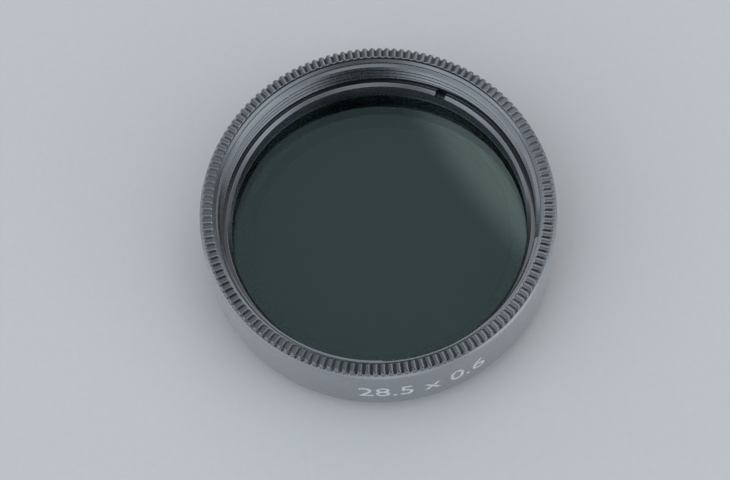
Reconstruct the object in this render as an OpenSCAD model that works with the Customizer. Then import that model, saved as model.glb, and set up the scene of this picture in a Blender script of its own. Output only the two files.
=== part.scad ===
// Screw-in neutral density filter for a 1.25 inch eyepiece barrel.
// It lies on the end face of its male thread, with the light path along Z.
// The origin is in the centre of that end face, and +Z points to the knurled rim.
// Screw threads are drawn plain. A male thread, alone or screwed in, is drawn at its major diameter,
// and a female thread that is free is drawn at the diameter of its crests.

/* [Threads] */
// Major diameter of both screw threads
thread_d = 28.5; // [20:0.1:60]
// Pitch of both screw threads
thread_pitch = 0.6; // [0.5:0.05:0.75]
// Length of the male thread below the body
male_thread_h = 2.4; // [1.8:0.1:4]
// Width of the run-out groove between the male thread and the body
relief_w = 0.5; // [0.4:0.05:0.7]
// How far the run-out groove cuts up into the body and out past the thread
undercut = 0.1; // [0.05:0.01:0.2]
// Depth of thread left free above the retaining ring
free_thread_h = 2.4; // [1.5:0.1:5]

/* [Body] */
// Height of the body above its male thread
body_h = 7.3; // [6:0.1:12]
// Wall between the thread and the outside of the plain band
band_wall = 1.45; // [1.2:0.05:3]
// Chamfer on the lower outside edge of the band
band_chamfer = 0.15; // [0.05:0.05:0.4]
// Depth of the plain mouth above the female thread
mouth_h = 0.75; // [0.3:0.05:1.5]
// Gap round the major diameter in the plain mouth
mouth_gap = 0.3; // [0.1:0.05:0.5]

/* [Knurled rim] */
// Number of teeth round the rim
teeth = 144; // [110:1:190]
// Flat land left on the crest of each tooth
tooth_land = 0.25; // [0.15:0.01:0.35]
// Height of the knurled rim
knurl_h = 0.7; // [0.4:0.05:1.5]
// How far the rim stands in from the band
knurl_step = 0.2; // [0.1:0.05:0.4]
// Plain land between the foot of the grooves and the shoulder below them
groove_stop = 0.05; // [0.02:0.01:0.2]
// Angle between the flanks of a groove
groove_angle = 70; // [60:1:90]
// Chamfer on the outer corner of the rim
rim_chamfer = 0.1; // [0.05:0.05:0.3]

/* [Glass] */
// Thickness of the glass disc
glass_t = 1.5; // [1:0.1:2]
// Step between the female thread's crests and the seat of the glass
seat_step = 0.125; // [0.05:0.025:0.4]
// Gap round the edge of the glass
glass_gap = 0.05; // [0.02:0.01:0.2]
// Bevel on both edges of the glass
glass_bevel = 0.15; // [0.05:0.05:0.4]
// Height of the glass above the lip of its seat
glass_proud = 0.1; // [0.05:0.05:0.3]
// Width of the ledge under the edge of the glass
ledge_w = 2; // [0.4:0.05:3]

/* [Retaining ring] */
// Height of the retaining ring
ring_h = 2; // [0.9:0.05:2.5]
// Wall of the retaining ring, from its bore to the major diameter of its thread
ring_wall = 1; // [0.8:0.05:2]
// Gap round the thread of the retaining ring
ring_gap = 0.025; // [0.01:0.005:0.1]
// Chamfer on the upper inside edge of the ring
ring_chamfer = 0.15; // [0.05:0.05:0.3]
// Width of the two slots for a spanner
slot_w = 0.95; // [0.5:0.05:2]
// Depth of the two slots for a spanner
slot_h = 0.6; // [0.3:0.05:0.8]
// Direction in which the slots lie
slot_angle = 59.8; // [0:0.1:179.9]

/* [Hidden] */
$fn = 180;
// How far a cut runs past the face it starts from
past = 0.5;
// The same for the knurl, less than half a land so that one groove's cut stays clear of the next
groove_past = 0.05;

// Depth of a metric thread as a share of its pitch, at a female crest and at a male root
FEMALE_CREST = 0.5413;
MALE_ROOT = 0.6134;
crest_depth = FEMALE_CREST * thread_pitch;
male_r = thread_d / 2;
male_root_r = male_r - MALE_ROOT * thread_pitch;
female_r = male_r - crest_depth;

// Outside of the body
band_r = male_r + band_wall;
knurl_r = band_r - knurl_step;
mouth_r = male_r + mouth_gap;

// One groove of the knurl
groove_w = 2 * PI * knurl_r / teeth - tooth_land;
groove_depth = groove_w / 2 / tan(groove_angle / 2);

// Heights of the body, from the end face of the male thread
top_z = male_thread_h + body_h;
knurl_z = top_z - knurl_h;
mouth_z = top_z - mouth_h;
ring_top_z = mouth_z - free_thread_h;
glass_top_z = ring_top_z - ring_h;
seat_lip_z = glass_top_z - glass_proud;
seat_z = glass_top_z - glass_t;

// Radii that fit in each other
seat_r = female_r - seat_step;
glass_r = seat_r - glass_gap;
aperture_r = glass_r - ledge_w;
ring_r = male_r - ring_gap;
ring_bore_r = ring_r - ring_wall;

// Turned outside of the cell, from the thread's end up to the rim
module cell_outside() {
    rotate_extrude() polygon([
        [0, 0],
        [male_root_r, 0],
        [male_r, male_r - male_root_r],
        [male_r, male_thread_h - relief_w],
        [male_root_r, male_thread_h - relief_w],
        [male_root_r, male_thread_h + undercut],
        [male_r + undercut, male_thread_h + undercut],
        [male_r + undercut, male_thread_h],
        [band_r - band_chamfer, male_thread_h],
        [band_r, male_thread_h + band_chamfer],
        [band_r, knurl_z - knurl_step],
        [knurl_r, knurl_z],
        [knurl_r, top_z - rim_chamfer],
        [knurl_r - rim_chamfer, top_z],
        [0, top_z]
    ]);
}

// Stepped bore of the cell: aperture, glass seat, thread round the ring, free thread and mouth
module cell_bore() {
    rotate_extrude() polygon([
        [0, -past],
        [aperture_r, -past],
        [aperture_r, seat_z],
        [seat_r, seat_z],
        [seat_r, seat_lip_z],
        [male_r, seat_lip_z],
        [male_r, ring_top_z],
        [female_r, ring_top_z],
        [female_r, mouth_z - crest_depth],
        [male_r, mouth_z],
        [mouth_r, mouth_z],
        [mouth_r, top_z + past],
        [0, top_z + past]
    ]);
}

// Outline of a groove in a face along y = 0
module groove_outline() {
    half_w = (groove_depth + groove_past) * tan(groove_angle / 2);
    polygon([[0, -groove_depth], [half_w, groove_past], [-half_w, groove_past]]);
}

// One knurl groove: across the top of the rim, then down its side
module knurl_groove() {
    rim_w = knurl_r - mouth_r;
    translate([mouth_r - past, 0, top_z])
        rotate([90, 0, 90]) linear_extrude(rim_w + 2 * past) groove_outline();
    translate([knurl_r, 0, knurl_z + groove_stop])
        rotate(-90) linear_extrude(knurl_h + past) groove_outline();
}

// Turned aluminium cell with a knurled rim, a threaded bore and a male thread
module filter_cell() {
    color("dimgray") difference() {
        cell_outside();
        cell_bore();
        for (tooth = [0 : teeth - 1])
            rotate(tooth * 360 / teeth) knurl_groove();
    }
}

// Dark glass disc with bevelled edges
module nd_glass() {
    color("darkslategray") rotate_extrude() polygon([
        [0, seat_z],
        [glass_r - glass_bevel, seat_z],
        [glass_r, seat_z + glass_bevel],
        [glass_r, glass_top_z - glass_bevel],
        [glass_r - glass_bevel, glass_top_z],
        [0, glass_top_z]
    ]);
}

// Threaded ring that holds the glass down, with two slots for a spanner
module retaining_ring() {
    color("gray") difference() {
        rotate_extrude() polygon([
            [ring_bore_r, glass_top_z],
            [ring_r, glass_top_z],
            [ring_r, ring_top_z],
            [ring_bore_r + ring_chamfer, ring_top_z],
            [ring_bore_r, ring_top_z - ring_chamfer]
        ]);
        rotate(slot_angle) translate([-ring_r - past, -slot_w / 2, ring_top_z - slot_h])
            cube([2 * (ring_r + past), slot_w, slot_h + past]);
    }
}

filter_cell();
nd_glass();
retaining_ring();
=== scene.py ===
"""A screw-in neutral density filter for a 1.25 inch eyepiece.

It lies on its male thread, with the knurled rim up.
"""
from math import atan2, cos, degrees, hypot, pi, radians, sin, tan

import bmesh
import bpy
from mathutils import Matrix, Vector


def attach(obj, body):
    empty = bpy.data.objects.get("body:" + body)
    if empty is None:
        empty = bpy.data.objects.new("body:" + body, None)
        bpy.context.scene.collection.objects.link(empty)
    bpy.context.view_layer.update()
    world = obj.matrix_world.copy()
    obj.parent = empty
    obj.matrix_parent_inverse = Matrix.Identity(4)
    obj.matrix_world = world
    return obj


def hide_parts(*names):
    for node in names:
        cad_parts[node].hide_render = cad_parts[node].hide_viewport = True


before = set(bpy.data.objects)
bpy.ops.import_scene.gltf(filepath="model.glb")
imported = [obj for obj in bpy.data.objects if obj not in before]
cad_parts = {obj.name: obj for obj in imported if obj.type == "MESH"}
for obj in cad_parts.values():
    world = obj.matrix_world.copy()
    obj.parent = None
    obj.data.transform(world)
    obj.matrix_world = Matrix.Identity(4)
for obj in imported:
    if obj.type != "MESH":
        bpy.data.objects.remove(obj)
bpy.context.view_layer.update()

# THE CELL
# The body of the filter: one piece of aluminium, turned on a lathe with a seat for the glass and a
# fine screw thread at each end. The rim is knurled so that fingertips can turn it. The whole piece
# is then anodised and dyed grey, which leaves it satin.
MM = 0.001  # a millimetre in metres: the sizes below are in millimetres
TEETH, TOOTH_COLUMNS = 144, 8
TOOTH_ANGLE = 360 / TEETH
GROOVE_DEPTH = 0.304
BAND_R, KNURL_R, MOUTH_R, APERTURE_R = 15.7, 15.5, 14.55, 11.75
BODY_Z, MOUTH_Z, TOP_Z = 2.4, 8.95, 9.7
# Both threads: major radius, crests of the female one, roots of the male one
PITCH, MAJOR_R, FEMALE_R, ROOT_R = 0.6, 14.25, 13.925, 13.882
# What lies in the bore: top of the ring, lip round the glass, ledge just clear of the glass
RING_TOP_Z, SEAT_LIP_Z, SEAT_Z = 6.55, 4.45, 3.04
SEAT_R, RELIEF_Z, UNDERCUT = 13.8, 1.9, 0.1

# Rings of the rim that the knurl goes through, as (r, z), each with how far a groove moves it. On
# the top of the rim the grooves get shallower inwards.
KNURL = [
    ((KNURL_R, 9.05), (-GROOVE_DEPTH, 0)),
    ((KNURL_R, 9.42), (-GROOVE_DEPTH, -0.07)),
    ((15.49, 9.6), (-0.28, -0.21)),
    ((15.455, 9.665), (-0.24, -0.265)),
    ((15.38, TOP_Z), (-0.14, -0.26)),
    ((14.62, TOP_Z), (0, -0.14)),
    ((MOUTH_R, 9.64), (0, -0.12)),
]
# Share of the groove's depth in each column of a tooth, from the groove to the middle of the tooth
GROOVE_SHARES = [1, 0.55, 0.1, 0, 0]

# Section of the cell without its threads, with every edge broken a little
cell_section = [
    # end of the male thread
    (APERTURE_R, 0.08), (APERTURE_R + 0.08, 0), (13.84, 0), (ROOT_R, 0.02),
    # male thread, its run-out groove and the undercut in the shoulder over it
    (MAJOR_R, 0.368), (MAJOR_R, RELIEF_Z), (ROOT_R, RELIEF_Z), (ROOT_R, BODY_Z + UNDERCUT),
    (MAJOR_R + UNDERCUT, BODY_Z + UNDERCUT), (MAJOR_R + UNDERCUT, BODY_Z),
    # plain band, up to the step in to the rim
    (15.55, BODY_Z), (15.64, 2.43), (BAND_R, 2.52), (BAND_R, 8.79), (15.69, 8.81),
    (15.52, 8.98), (KNURL_R, 9.0),
] + [place for place, _ in KNURL] + [
    # mouth, and the lead in to the female thread
    (MOUTH_R, 9.24), (MAJOR_R + 0.06, 9.06), (MAJOR_R + 0.03, MOUTH_Z),
    (MAJOR_R - 0.02, 8.93), (FEMALE_R, 8.625),
    # female thread, and the wall round the ring
    (FEMALE_R, RING_TOP_Z), (MAJOR_R + 0.01, RING_TOP_Z), (MAJOR_R + 0.01, SEAT_LIP_Z),
    # seat of the glass, and the opening that the light goes through
    (13.84, SEAT_LIP_Z), (SEAT_R, SEAT_LIP_Z - 0.04), (SEAT_R, SEAT_Z),
    (APERTURE_R + 0.04, SEAT_Z), (APERTURE_R, SEAT_Z - 0.04),
]
SAME_PLACE = 0.0005  # vertices closer than this are one
ON_RING = 0.004  # how near to a ring of the section a vertex on it lies
REAL_EDGE = 18  # degrees past which an edge stays sharp


def draw_section(name, section):
    """Draws a closed section through (r, z) points, in the plane y = 0, as a chain of edges."""
    bpy.ops.object.select_all(action="DESELECT")
    r, z = section[0]
    bpy.ops.mesh.primitive_plane_add(size=MM, location=(r * MM, 0, z * MM))
    bpy.ops.object.transform_apply()
    piece = bpy.context.object
    piece.name = piece.data.name = name
    bpy.ops.object.mode_set(mode="EDIT")
    bpy.ops.mesh.select_mode(type="VERT")
    bpy.ops.mesh.merge(type="CENTER")
    for next_r, next_z in section[1:] + section[:1]:
        step = ((next_r - r) * MM, 0, (next_z - z) * MM)
        bpy.ops.mesh.extrude_vertices_move(TRANSFORM_OT_translate={"value": step})
        r, z = next_r, next_z
    close_up()
    return piece


def close_up():
    """Selects the whole mesh in edit mode and merges the vertices that lie together."""
    bpy.ops.mesh.select_all(action="SELECT")
    bpy.ops.mesh.remove_doubles(threshold=SAME_PLACE * MM)


def pick(piece, wanted):
    """Selects the vertices in edit mode whose radius, angle in degrees and z are wanted."""
    mesh = bmesh.from_edit_mesh(piece.data)
    for vert in mesh.verts:
        x, y, z = vert.co / MM
        vert.select = wanted(hypot(x, y), degrees(atan2(y, x)), z)
    mesh.select_flush_mode()
    bmesh.update_edit_mesh(piece.data)


def finish_turned(piece):
    """Turns all normals out, leaves edit mode and smooths what isn't a real edge."""
    close_up()
    bpy.ops.mesh.normals_make_consistent(inside=False)
    bpy.ops.object.mode_set(mode="OBJECT")
    smooth(piece)


def smooth(piece):
    """Smooths the shading everywhere but at real edges."""
    bpy.ops.object.select_all(action="DESELECT")
    piece.select_set(True)
    bpy.context.view_layer.objects.active = piece
    bpy.ops.object.shade_smooth_by_angle(angle=radians(REAL_EDGE))


# One tooth is turned and knurled, and then copied all the way round
cell = draw_section("turned_cell", cell_section)
bpy.ops.mesh.spin(steps=TOOTH_COLUMNS, angle=radians(TOOTH_ANGLE), center=(0, 0, 0), axis=(0, 0, 1))
close_up()
for (ring_r, ring_z), (groove_r, groove_z) in KNURL:
    for distance, share in enumerate(GROOVE_SHARES):
        columns = [distance, TOOTH_COLUMNS - distance]
        pick(cell, lambda r, angle, z: hypot(r - ring_r, z - ring_z) < ON_RING
             and round(abs(angle) / TOOTH_ANGLE * TOOTH_COLUMNS) in columns)
        inwards = 1 + share * groove_r / ring_r
        bpy.ops.transform.resize(value=(inwards, inwards, 1), center_override=(0, 0, 0))
        bpy.ops.transform.translate(value=(0, 0, share * groove_z * MM))
bpy.ops.mesh.select_all(action="SELECT")
bpy.ops.mesh.spin(steps=TEETH - 1, dupli=True, angle=radians(360 - TOOTH_ANGLE),
                  center=(0, 0, 0), axis=(0, 0, 1))
finish_turned(cell)


def thread_cutter(name, section, turns):
    """Winds a closed section up round Z as a right-handed cutter with capped ends."""
    cutter = draw_section(name, section)
    bpy.ops.object.mode_set(mode="OBJECT")
    wind = cutter.modifiers.new("Wind", "SCREW")
    wind.screw_offset = PITCH * MM
    wind.iterations = turns
    wind.steps = wind.render_steps = TEETH
    wind.use_smooth_shade = False
    bpy.ops.object.modifier_apply(modifier=wind.name)
    bpy.ops.object.mode_set(mode="EDIT")
    close_up()
    bpy.ops.mesh.select_all(action="DESELECT")
    bpy.ops.mesh.select_mode(type="EDGE")
    bpy.ops.mesh.select_non_manifold()
    bpy.ops.mesh.fill_holes(sides=0)
    bpy.ops.mesh.select_mode(type="VERT")
    finish_turned(cutter)
    return cutter


def groove_section(root_r, open_r, middle_z, root_flat):
    """Section of a thread groove with 60 degree flanks, from its root to its open side."""
    half_root = root_flat / 2
    half_open = half_root + abs(open_r - root_r) * tan(radians(30))
    return [
        (root_r, middle_z - half_root), (open_r, middle_z - half_open),
        (open_r, middle_z + half_open), (root_r, middle_z + half_root),
    ]


def cut(piece, cutter):
    """Cuts a piece with another one and takes the cutter away."""
    bpy.ops.object.select_all(action="DESELECT")
    piece.select_set(True)
    bpy.context.view_layer.objects.active = piece
    taken = piece.modifiers.new("Cut", "BOOLEAN")
    taken.object = cutter
    taken.operation = "DIFFERENCE"
    taken.solver = "MANIFOLD"
    bpy.ops.object.modifier_apply(modifier=taken.name)
    bpy.data.objects.remove(cutter)
    piece.data.materials.clear()
    smooth(piece)


# Each groove opens a little past the crests, and its root is as wide as a tap or a die leaves it
cut(cell, thread_cutter("female_tap", groove_section(14.243, 13.82, 6.0, 0.07), turns=6))
cut(cell, thread_cutter("male_die", groove_section(13.889, 14.32, -0.95, 0.09), turns=5))


def linear(hex_colour):
    """An sRGB hex colour as the linear RGBA that a socket takes."""
    parts = [int(hex_colour[i:i + 2], 16) / 255 for i in (1, 3, 5)]
    return [p / 12.92 if p <= 0.04045 else ((p + 0.055) / 1.055) ** 2.4 for p in parts] + [1]


def new_material(name):
    """A node material with a Principled shader, which is returned with it."""
    material = bpy.data.materials.new(name)
    material.use_nodes = True
    return material, material.node_tree.nodes["Principled BSDF"]


def add_node(material, kind, settings=(), **links):
    """Adds a node with its settings and its inputs, by name or number, as values or sockets."""
    node = material.node_tree.nodes.new("ShaderNode" + kind)
    for name, value in dict(settings).items():
        setattr(node, name, value)
    for name, value in links.items():
        socket = node.inputs[int(name[1:]) if name[1:].isdigit() else name.replace("_", " ")]
        if isinstance(value, bpy.types.NodeSocket):
            material.node_tree.links.new(value, socket)
        else:
            socket.default_value = value
    return node


def lathe_marks(material, feed):
    """Rings that a lathe tool leaves, 0 to 1, which change with radius and height, not with angle.

    They are returned with the place, the radius and the height that they were made from.
    """
    place = add_node(material, "TexCoord").outputs["Object"]
    axes = add_node(material, "SeparateXYZ", Vector=place)
    flat = add_node(material, "CombineXYZ", X=axes.outputs["X"], Y=axes.outputs["Y"])
    length = add_node(material, "VectorMath", {"operation": "LENGTH"}, _0=flat.outputs["Vector"])
    radius, up = length.outputs["Value"], axes.outputs["Z"]
    across = add_node(material, "Math", {"operation": "ADD"}, _0=radius, _1=up)
    rings = add_node(material, "CombineXYZ", X=radius, Y=up, Z=across.outputs["Value"])
    marks = add_node(material, "TexNoise", Vector=rings.outputs["Vector"],
                     Scale=1 / (feed * MM), Detail=2.0)
    return marks.outputs["Fac"], place, radius, up


def anodised(name, dark, light, roughness, feed, groove, highlight_from_r, highlight_z, highlight_half):
    """Turned, anodised and dyed aluminium, with the lathe's rings and a painted highlight on one
    edge.

    The painted highlight is a pale line outside of a radius, up to a half width above and below a
    height.
    """
    material, shader = new_material(name)
    marks, place, radius, up = lathe_marks(material, feed)
    # the dye bath leaves clouds a few millimetres across
    clouds = add_node(material, "TexNoise", Vector=place, Scale=1 / (4 * MM), Detail=3.0)
    # the etch before the dye leaves a grain of about 0.1 mm
    grain = add_node(material, "TexNoise", Vector=place, Scale=1 / (0.1 * MM), Detail=2.0)
    tone = add_node(material, "Mix", {"data_type": "FLOAT"}, _0=0.35,
                    _2=clouds.outputs["Fac"], _3=grain.outputs["Fac"])
    colour = add_node(material, "ValToRGB", Fac=tone.outputs[0])
    ends = colour.color_ramp.elements
    ends[0].position, ends[0].color = 0.3, linear(dark)
    ends[1].position, ends[1].color = 0.7, linear(light)
    # a pale line painted on one edge: a painted highlight where that edge catches the light
    at_height = add_node(material, "Math", {"operation": "COMPARE"},
                         _0=up, _1=highlight_z * MM, _2=highlight_half * MM)
    outside = add_node(material, "Math", {"operation": "GREATER_THAN"},
                       _0=radius, _1=highlight_from_r * MM)
    highlight_line = add_node(material, "Math", {"operation": "MULTIPLY"},
                      _0=at_height.outputs["Value"], _1=outside.outputs["Value"])
    with_highlight = add_node(material, "Mix", {"data_type": "RGBA"}, _0=highlight_line.outputs["Value"],
                    _6=colour.outputs["Color"], _7=linear("#8b9095"))
    dull = add_node(material, "MapRange", Value=grain.outputs["Fac"], From_Min=0.3, From_Max=0.7,
                    To_Min=roughness - 0.05, To_Max=roughness + 0.06)
    relief = add_node(material, "Mix", {"data_type": "FLOAT"}, _0=0.3,
                      _2=marks, _3=grain.outputs["Fac"])
    bump = add_node(material, "Bump", Height=relief.outputs[0], Strength=0.5, Distance=groove * MM)
    # the lathe's rings spread a reflection across them and hardly along them
    shader.inputs["Anisotropic"].default_value = 0.5
    around = add_node(material, "Tangent", {"direction_type": "RADIAL", "axis": "Z"})
    for socket, value in {
        "Base Color": with_highlight.outputs[2], "Roughness": dull.outputs["Result"],
        "Normal": bump.outputs["Normal"], "Tangent": around.outputs["Tangent"],
    }.items():
        material.node_tree.links.new(value, shader.inputs[socket])
    shader.inputs["Metallic"].default_value = 0.96
    # the clear oxide over the dye has a shine of its own, which grows where it is seen at a slant
    shader.inputs["Coat Weight"].default_value = 1
    shader.inputs["Coat Roughness"].default_value = 0.08
    shader.inputs["Coat IOR"].default_value = 1.6
    return material


# Grey anodised aluminium, fine turned: a soft satin that brightens where it is seen at a slant,
# with a painted highlight, a pale line, on the step between the band and the rim
cell.data.materials.append(anodised(
    "satin_grey_anodised_aluminium", "#6c7279", "#80868d", roughness=0.24, feed=0.09, groove=0.0015,
    highlight_from_r=15.45, highlight_z=8.895, highlight_half=0.1,
))
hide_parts("filter_cell")
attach(cell, "root")

# THE GLASS
# A disc of glass, ground flat and polished, with a small bevel so that its edge doesn't chip. It
# lies on the ledge of the cell. Its shape is that of the CAD solid, which stays as it is.
nd_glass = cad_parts["nd_glass"]

# Clear polished glass over a thin film of grey metal on its underside, which lets about an eighth
# of the light through: dark green-grey, with one sharp reflection from its top and a weaker one
# from the film
FILM_Z, CLEAR_Z = SEAT_Z + 0.02, SEAT_Z + 0.04
grey_glass, shader = new_material("clear_glass_with_grey_metal_film")
place = add_node(grey_glass, "TexCoord").outputs["Object"]
height = add_node(grey_glass, "SeparateXYZ", Vector=place).outputs["Z"]
above_film = add_node(grey_glass, "MapRange", Value=height,
                      From_Min=FILM_Z * MM, From_Max=CLEAR_Z * MM).outputs["Result"]
tint = add_node(grey_glass, "Mix", {"data_type": "RGBA"}, _0=above_film,
                _6=linear("#5a6160"), _7=linear("#c4cbc8"))
grey_glass.node_tree.links.new(tint.outputs[2], shader.inputs["Base Color"])
shader.inputs["Transmission Weight"].default_value = 1
shader.inputs["IOR"].default_value = 1.52
# a thin hard coating adds to what the glass reflects, and leaves a green tinge in it
shader.inputs["Specular Tint"].default_value = linear("#b0ffff")
shader.inputs["Coat Weight"].default_value = 1
shader.inputs["Coat IOR"].default_value = 1.45
shader.inputs["Coat Roughness"].default_value = 0.03
# a faint haze from wiping, in patches of about 5 mm
haze = add_node(grey_glass, "TexNoise", Vector=place, Scale=1 / (5 * MM), Detail=4.0)
dull = add_node(grey_glass, "MapRange", Value=haze.outputs["Fac"], To_Min=0.01, To_Max=0.04)
grey_glass.node_tree.links.new(dull.outputs["Result"], shader.inputs["Roughness"])
nd_glass.data.materials.clear()
nd_glass.data.materials.append(grey_glass)

# THE RETAINING RING
# A ring of turned and anodised aluminium, screwed down on the glass in the cell's own thread. Its
# two slots take a flat spanner. A small chamfer leads down to its bore, which has fine ridges that
# break up stray light.
RING_R, RING_BORE_R, GLASS_TOP_Z = 14.225, 13.225, 4.55
RING_COLUMNS = 288
RIDGES, RIDGE_PITCH, RIDGE_DEPTH = 8, 0.2, 0.04
SLOT_W, SLOT_H, SLOT_ANGLE, SLOT_EDGE = 0.95, 0.6, 59.8, 0.08

ring = draw_section("slotted_retaining_ring", [
    (RING_BORE_R + 0.03, GLASS_TOP_Z), (RING_R - 0.03, GLASS_TOP_Z), (RING_R, GLASS_TOP_Z + 0.03),
    (RING_R, RING_TOP_Z - 0.12), (RING_R - 0.1, RING_TOP_Z), (RING_BORE_R + 0.3, RING_TOP_Z),
    (RING_BORE_R + 0.27, RING_TOP_Z - 0.01), (RING_BORE_R + 0.01, RING_TOP_Z - 0.26),
] + [
    (RING_BORE_R + deep, RING_TOP_Z - 0.28 - RIDGE_PITCH * ridge - down)
    for ridge in range(RIDGES)
    for deep, down in [(0, 0), (0, 0.06), (RIDGE_DEPTH, 0.11), (RIDGE_DEPTH, 0.14)]
] + [(RING_BORE_R, GLASS_TOP_Z + 0.03)])
bpy.ops.mesh.spin(steps=RING_COLUMNS, angle=2 * pi, center=(0, 0, 0), axis=(0, 0, 1))
finish_turned(ring)

# One cutter, 1 mm high and longer than the ring is wide, makes both slots
bpy.ops.object.select_all(action="DESELECT")
bpy.ops.mesh.primitive_cube_add(size=1, location=(0, 0, (RING_TOP_Z - SLOT_H + 0.5) * MM),
                                rotation=(0, 0, radians(SLOT_ANGLE)))
slot_cutter = bpy.context.object
bpy.ops.transform.resize(value=(2 * (RING_R + 1) * MM, SLOT_W * MM, 1 * MM), orient_type="LOCAL")
bpy.ops.object.transform_apply()
bpy.ops.object.mode_set(mode="EDIT")
bpy.ops.mesh.select_all(action="SELECT")
bpy.ops.mesh.bevel(offset=SLOT_EDGE * MM, segments=2)
bpy.ops.object.mode_set(mode="OBJECT")
cut(ring, slot_cutter)

# The same finish as the cell, a little darker and smoother, with a painted highlight on the inner
# edge of its top
ring.data.materials.append(anodised(
    "dark_grey_anodised_ring", "#5f656c", "#72787f", roughness=0.2, feed=0.07, groove=0.001,
    highlight_from_r=13.45, highlight_z=6.535, highlight_half=0.012,
))
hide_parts("retaining_ring")
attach(ring, "root")

# THE NUMBERS
# The size of the thread in plain numbers, printed on the band in a pale ink with a soft pad. The
# print is a hair thick and follows the band, with half of it sunk into the finish.
NUMBERS_SIZE, NUMBERS_Z, NUMBERS_ANGLE, INK = 2.95, 5.25, -81, 0.015
CUT_EVERY, CUTS_EACH_WAY = 0.2, 35

bpy.ops.object.select_all(action="DESELECT")
bpy.ops.object.text_add()
numbers = bpy.context.object
numbers.name = "printed_thread_size"
numbers.data.body = "28.5 x 0.6"
numbers.data.align_x = numbers.data.align_y = "CENTER"
numbers.data.size = NUMBERS_SIZE * MM
numbers.data.extrude = INK * MM
numbers.data.resolution_u = 4
bpy.ops.object.convert(target="MESH")
bpy.ops.object.mode_set(mode="EDIT")
close_up()
bpy.ops.transform.rotate(value=radians(-90), orient_axis="X", center_override=(0, 0, 0))
for column in range(-CUTS_EACH_WAY, CUTS_EACH_WAY + 1):
    # cut across, so that the flat print can bend round the band
    bpy.ops.mesh.select_all(action="SELECT")
    bpy.ops.mesh.bisect(plane_co=(column * CUT_EVERY * MM, 0, 0), plane_no=(1, 0, 0))
bpy.ops.object.mode_set(mode="OBJECT")
wrap = numbers.modifiers.new("Wrap", "SIMPLE_DEFORM")
wrap.deform_method, wrap.deform_axis = "BEND", "Z"
wrap.angle = numbers.dimensions.x / (BAND_R * MM)
bpy.ops.object.modifier_apply(modifier=wrap.name)
bpy.ops.object.mode_set(mode="EDIT")
close_up()
bpy.ops.transform.translate(value=(0, -BAND_R * MM, NUMBERS_Z * MM))
bpy.ops.transform.rotate(value=radians(-90 - NUMBERS_ANGLE), orient_axis="Z",
                         center_override=(0, 0, 0))
finish_turned(numbers)

# Pad-printed ink: matt and nearly white, a little thin in places so that the grey shows through
ink, shader = new_material("pale_pad_printing_ink")
place = add_node(ink, "TexCoord").outputs["Object"]
# the pad lays the ink down unevenly, in spots of about 0.25 mm
spots = add_node(ink, "TexNoise", Vector=place, Scale=1 / (0.25 * MM), Detail=3.0)
thin = add_node(ink, "ValToRGB", Fac=spots.outputs["Fac"])
ends = thin.color_ramp.elements
ends[0].position, ends[0].color = 0.3, linear("#b4b9bd")
ends[1].position, ends[1].color = 0.55, linear("#d9dde0")
film = add_node(ink, "Bump", Height=spots.outputs["Fac"], Strength=0.4, Distance=0.004 * MM)
ink.node_tree.links.new(thin.outputs["Color"], shader.inputs["Base Color"])
ink.node_tree.links.new(film.outputs["Normal"], shader.inputs["Normal"])
shader.inputs["Roughness"].default_value = 0.55
numbers.data.materials.append(ink)
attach(numbers, "root")

# THE FLOOR
# A plain pale sheet of matt board under the filter.
bpy.ops.object.select_all(action="DESELECT")
bpy.ops.mesh.primitive_plane_add(size=3, location=(0, 0, 0))
floor = bpy.context.object
floor.name = "floor"

# Matt paper board: no shine, with a faint tooth of fibres about 0.6 mm apart
board, shader = new_material("pale_matt_board")
place = add_node(board, "TexCoord").outputs["Object"]
fibres = add_node(board, "TexNoise", Vector=place, Scale=1 / (0.6 * MM), Detail=3.0)
shade = add_node(board, "ValToRGB", Fac=fibres.outputs["Fac"])
ends = shade.color_ramp.elements
ends[0].color, ends[1].color = linear("#d0d4d9"), linear("#d6dade")
board.node_tree.links.new(shade.outputs["Color"], shader.inputs["Base Color"])
shader.inputs["Roughness"].default_value = 0.9
shader.inputs["Specular IOR Level"].default_value = 0.2
floor.data.materials.append(board)

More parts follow.
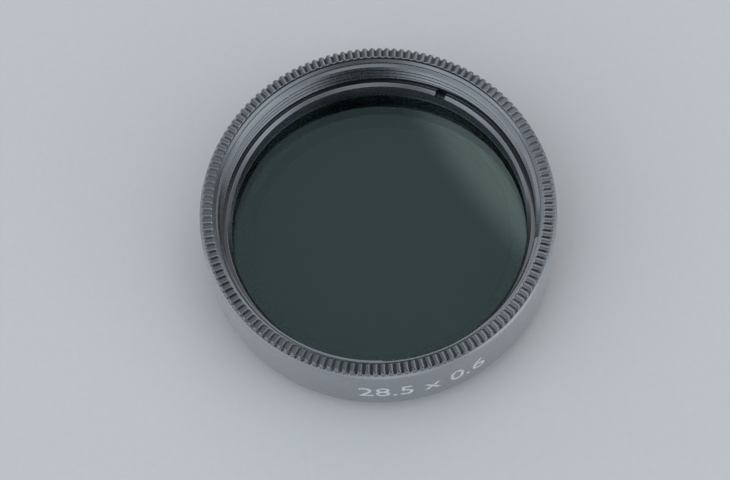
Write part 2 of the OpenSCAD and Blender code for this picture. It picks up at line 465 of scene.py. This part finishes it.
# THE LIGHT
# A pale room that is brighter towards its walls, with soft panels of light over it. Over the front
# edge stands the camera, which is dark, and low on the right there is a dark corner.
COOL, WARM = "#f4f8fc", "#fff2ea"
world = bpy.data.worlds.new("pale_room")
bpy.context.scene.world = world
world.use_nodes = True
towards = add_node(world, "TexCoord").outputs["Generated"]
height = add_node(world, "SeparateXYZ", Vector=towards).outputs["Z"]
brightness = add_node(world, "MapRange", Value=height,
                      From_Max=0.52, To_Min=1.2, To_Max=0.38).outputs["Result"]
sky = add_node(world, "VectorMath", {"operation": "SCALE"},
               _0=linear(COOL)[:3], Scale=brightness).outputs["Vector"]
for direction, full, gone, strength, colour in [
    # towards, half angles in degrees of its full middle and of its whole, brightness, colour
    ((0.27, 0.50, 0.82), 14.8, 15.7, 0.65, WARM),   # window over the back right
    ((0.64, -0.28, 0.71), 14, 32, 0.75, COOL),      # panel on the right
    ((-0.62, -0.30, 0.72), 18, 34, 0.85, COOL),     # panel on the left
    ((0.0, -0.93, 0.37), 8, 22, 0.3, COOL),         # low in front
    ((0.8, -0.54, 0.26), 8, 24, 0.4, COOL),         # low in front on the right
    ((0.05, -0.5, 0.86), 10, 22, -0.38, COOL),      # the camera
    ((0.88, 0.25, 0.35), 12, 30, -0.4, COOL),       # dark corner
]:
    axis = add_node(world, "VectorMath", {"operation": "DOT_PRODUCT"},
                    _0=towards, _1=Vector(direction).normalized())
    panel = add_node(world, "MapRange", {"interpolation_type": "SMOOTHSTEP"},
                     Value=axis.outputs["Value"], From_Min=cos(radians(gone)),
                     From_Max=cos(radians(full)), To_Min=0.0, To_Max=strength)
    sky = add_node(world, "VectorMath", {"operation": "MULTIPLY_ADD"}, _0=panel.outputs["Result"],
                   _1=linear(colour)[:3], _2=sky).outputs["Vector"]
world.node_tree.links.new(sky, world.node_tree.nodes["Background"].inputs["Color"])

# A large soft lamp over the front of the table lights the board and stays out of the reflections
LAMP_PLACE, LAMP_SIZE, LAMP_POWER = (0, -0.2, 1), 1, 2.2
bpy.ops.object.light_add(type="AREA", location=LAMP_PLACE)
lamp = bpy.context.object
lamp.name = "soft_lamp"
lamp.data.energy, lamp.data.size = LAMP_POWER, LAMP_SIZE
lamp.visible_glossy = lamp.visible_transmission = False

# THE CAMERA
# It stands above the front edge and looks down steeply through a long lens. It is held a little
# crooked, which rolls the picture.
CAMERA_PLACE, LENS, SENSOR = (-0.00139, -0.07939, 0.19718), 114.76, 36
tilt, roll = radians(67.85), radians(-5.92)
look = Vector((0, cos(tilt), -sin(tilt)))
level, upright = Vector((1, 0, 0)), Vector((0, sin(tilt), cos(tilt)))
across = level * cos(roll) + upright * sin(roll)
up = upright * cos(roll) - level * sin(roll)
camera_data = bpy.data.cameras.new("camera")
camera_data.sensor_width, camera_data.lens = SENSOR, LENS
camera_data.clip_start, camera_data.clip_end = 0.01, 20
camera = bpy.data.objects.new("camera", camera_data)
turned = Matrix((across, up, -look)).transposed().to_4x4()
camera.matrix_world = Matrix.Translation(CAMERA_PLACE) @ turned
bpy.context.collection.objects.link(camera)
bpy.context.scene.camera = camera

bpy.context.scene.view_settings.view_transform = "Standard"
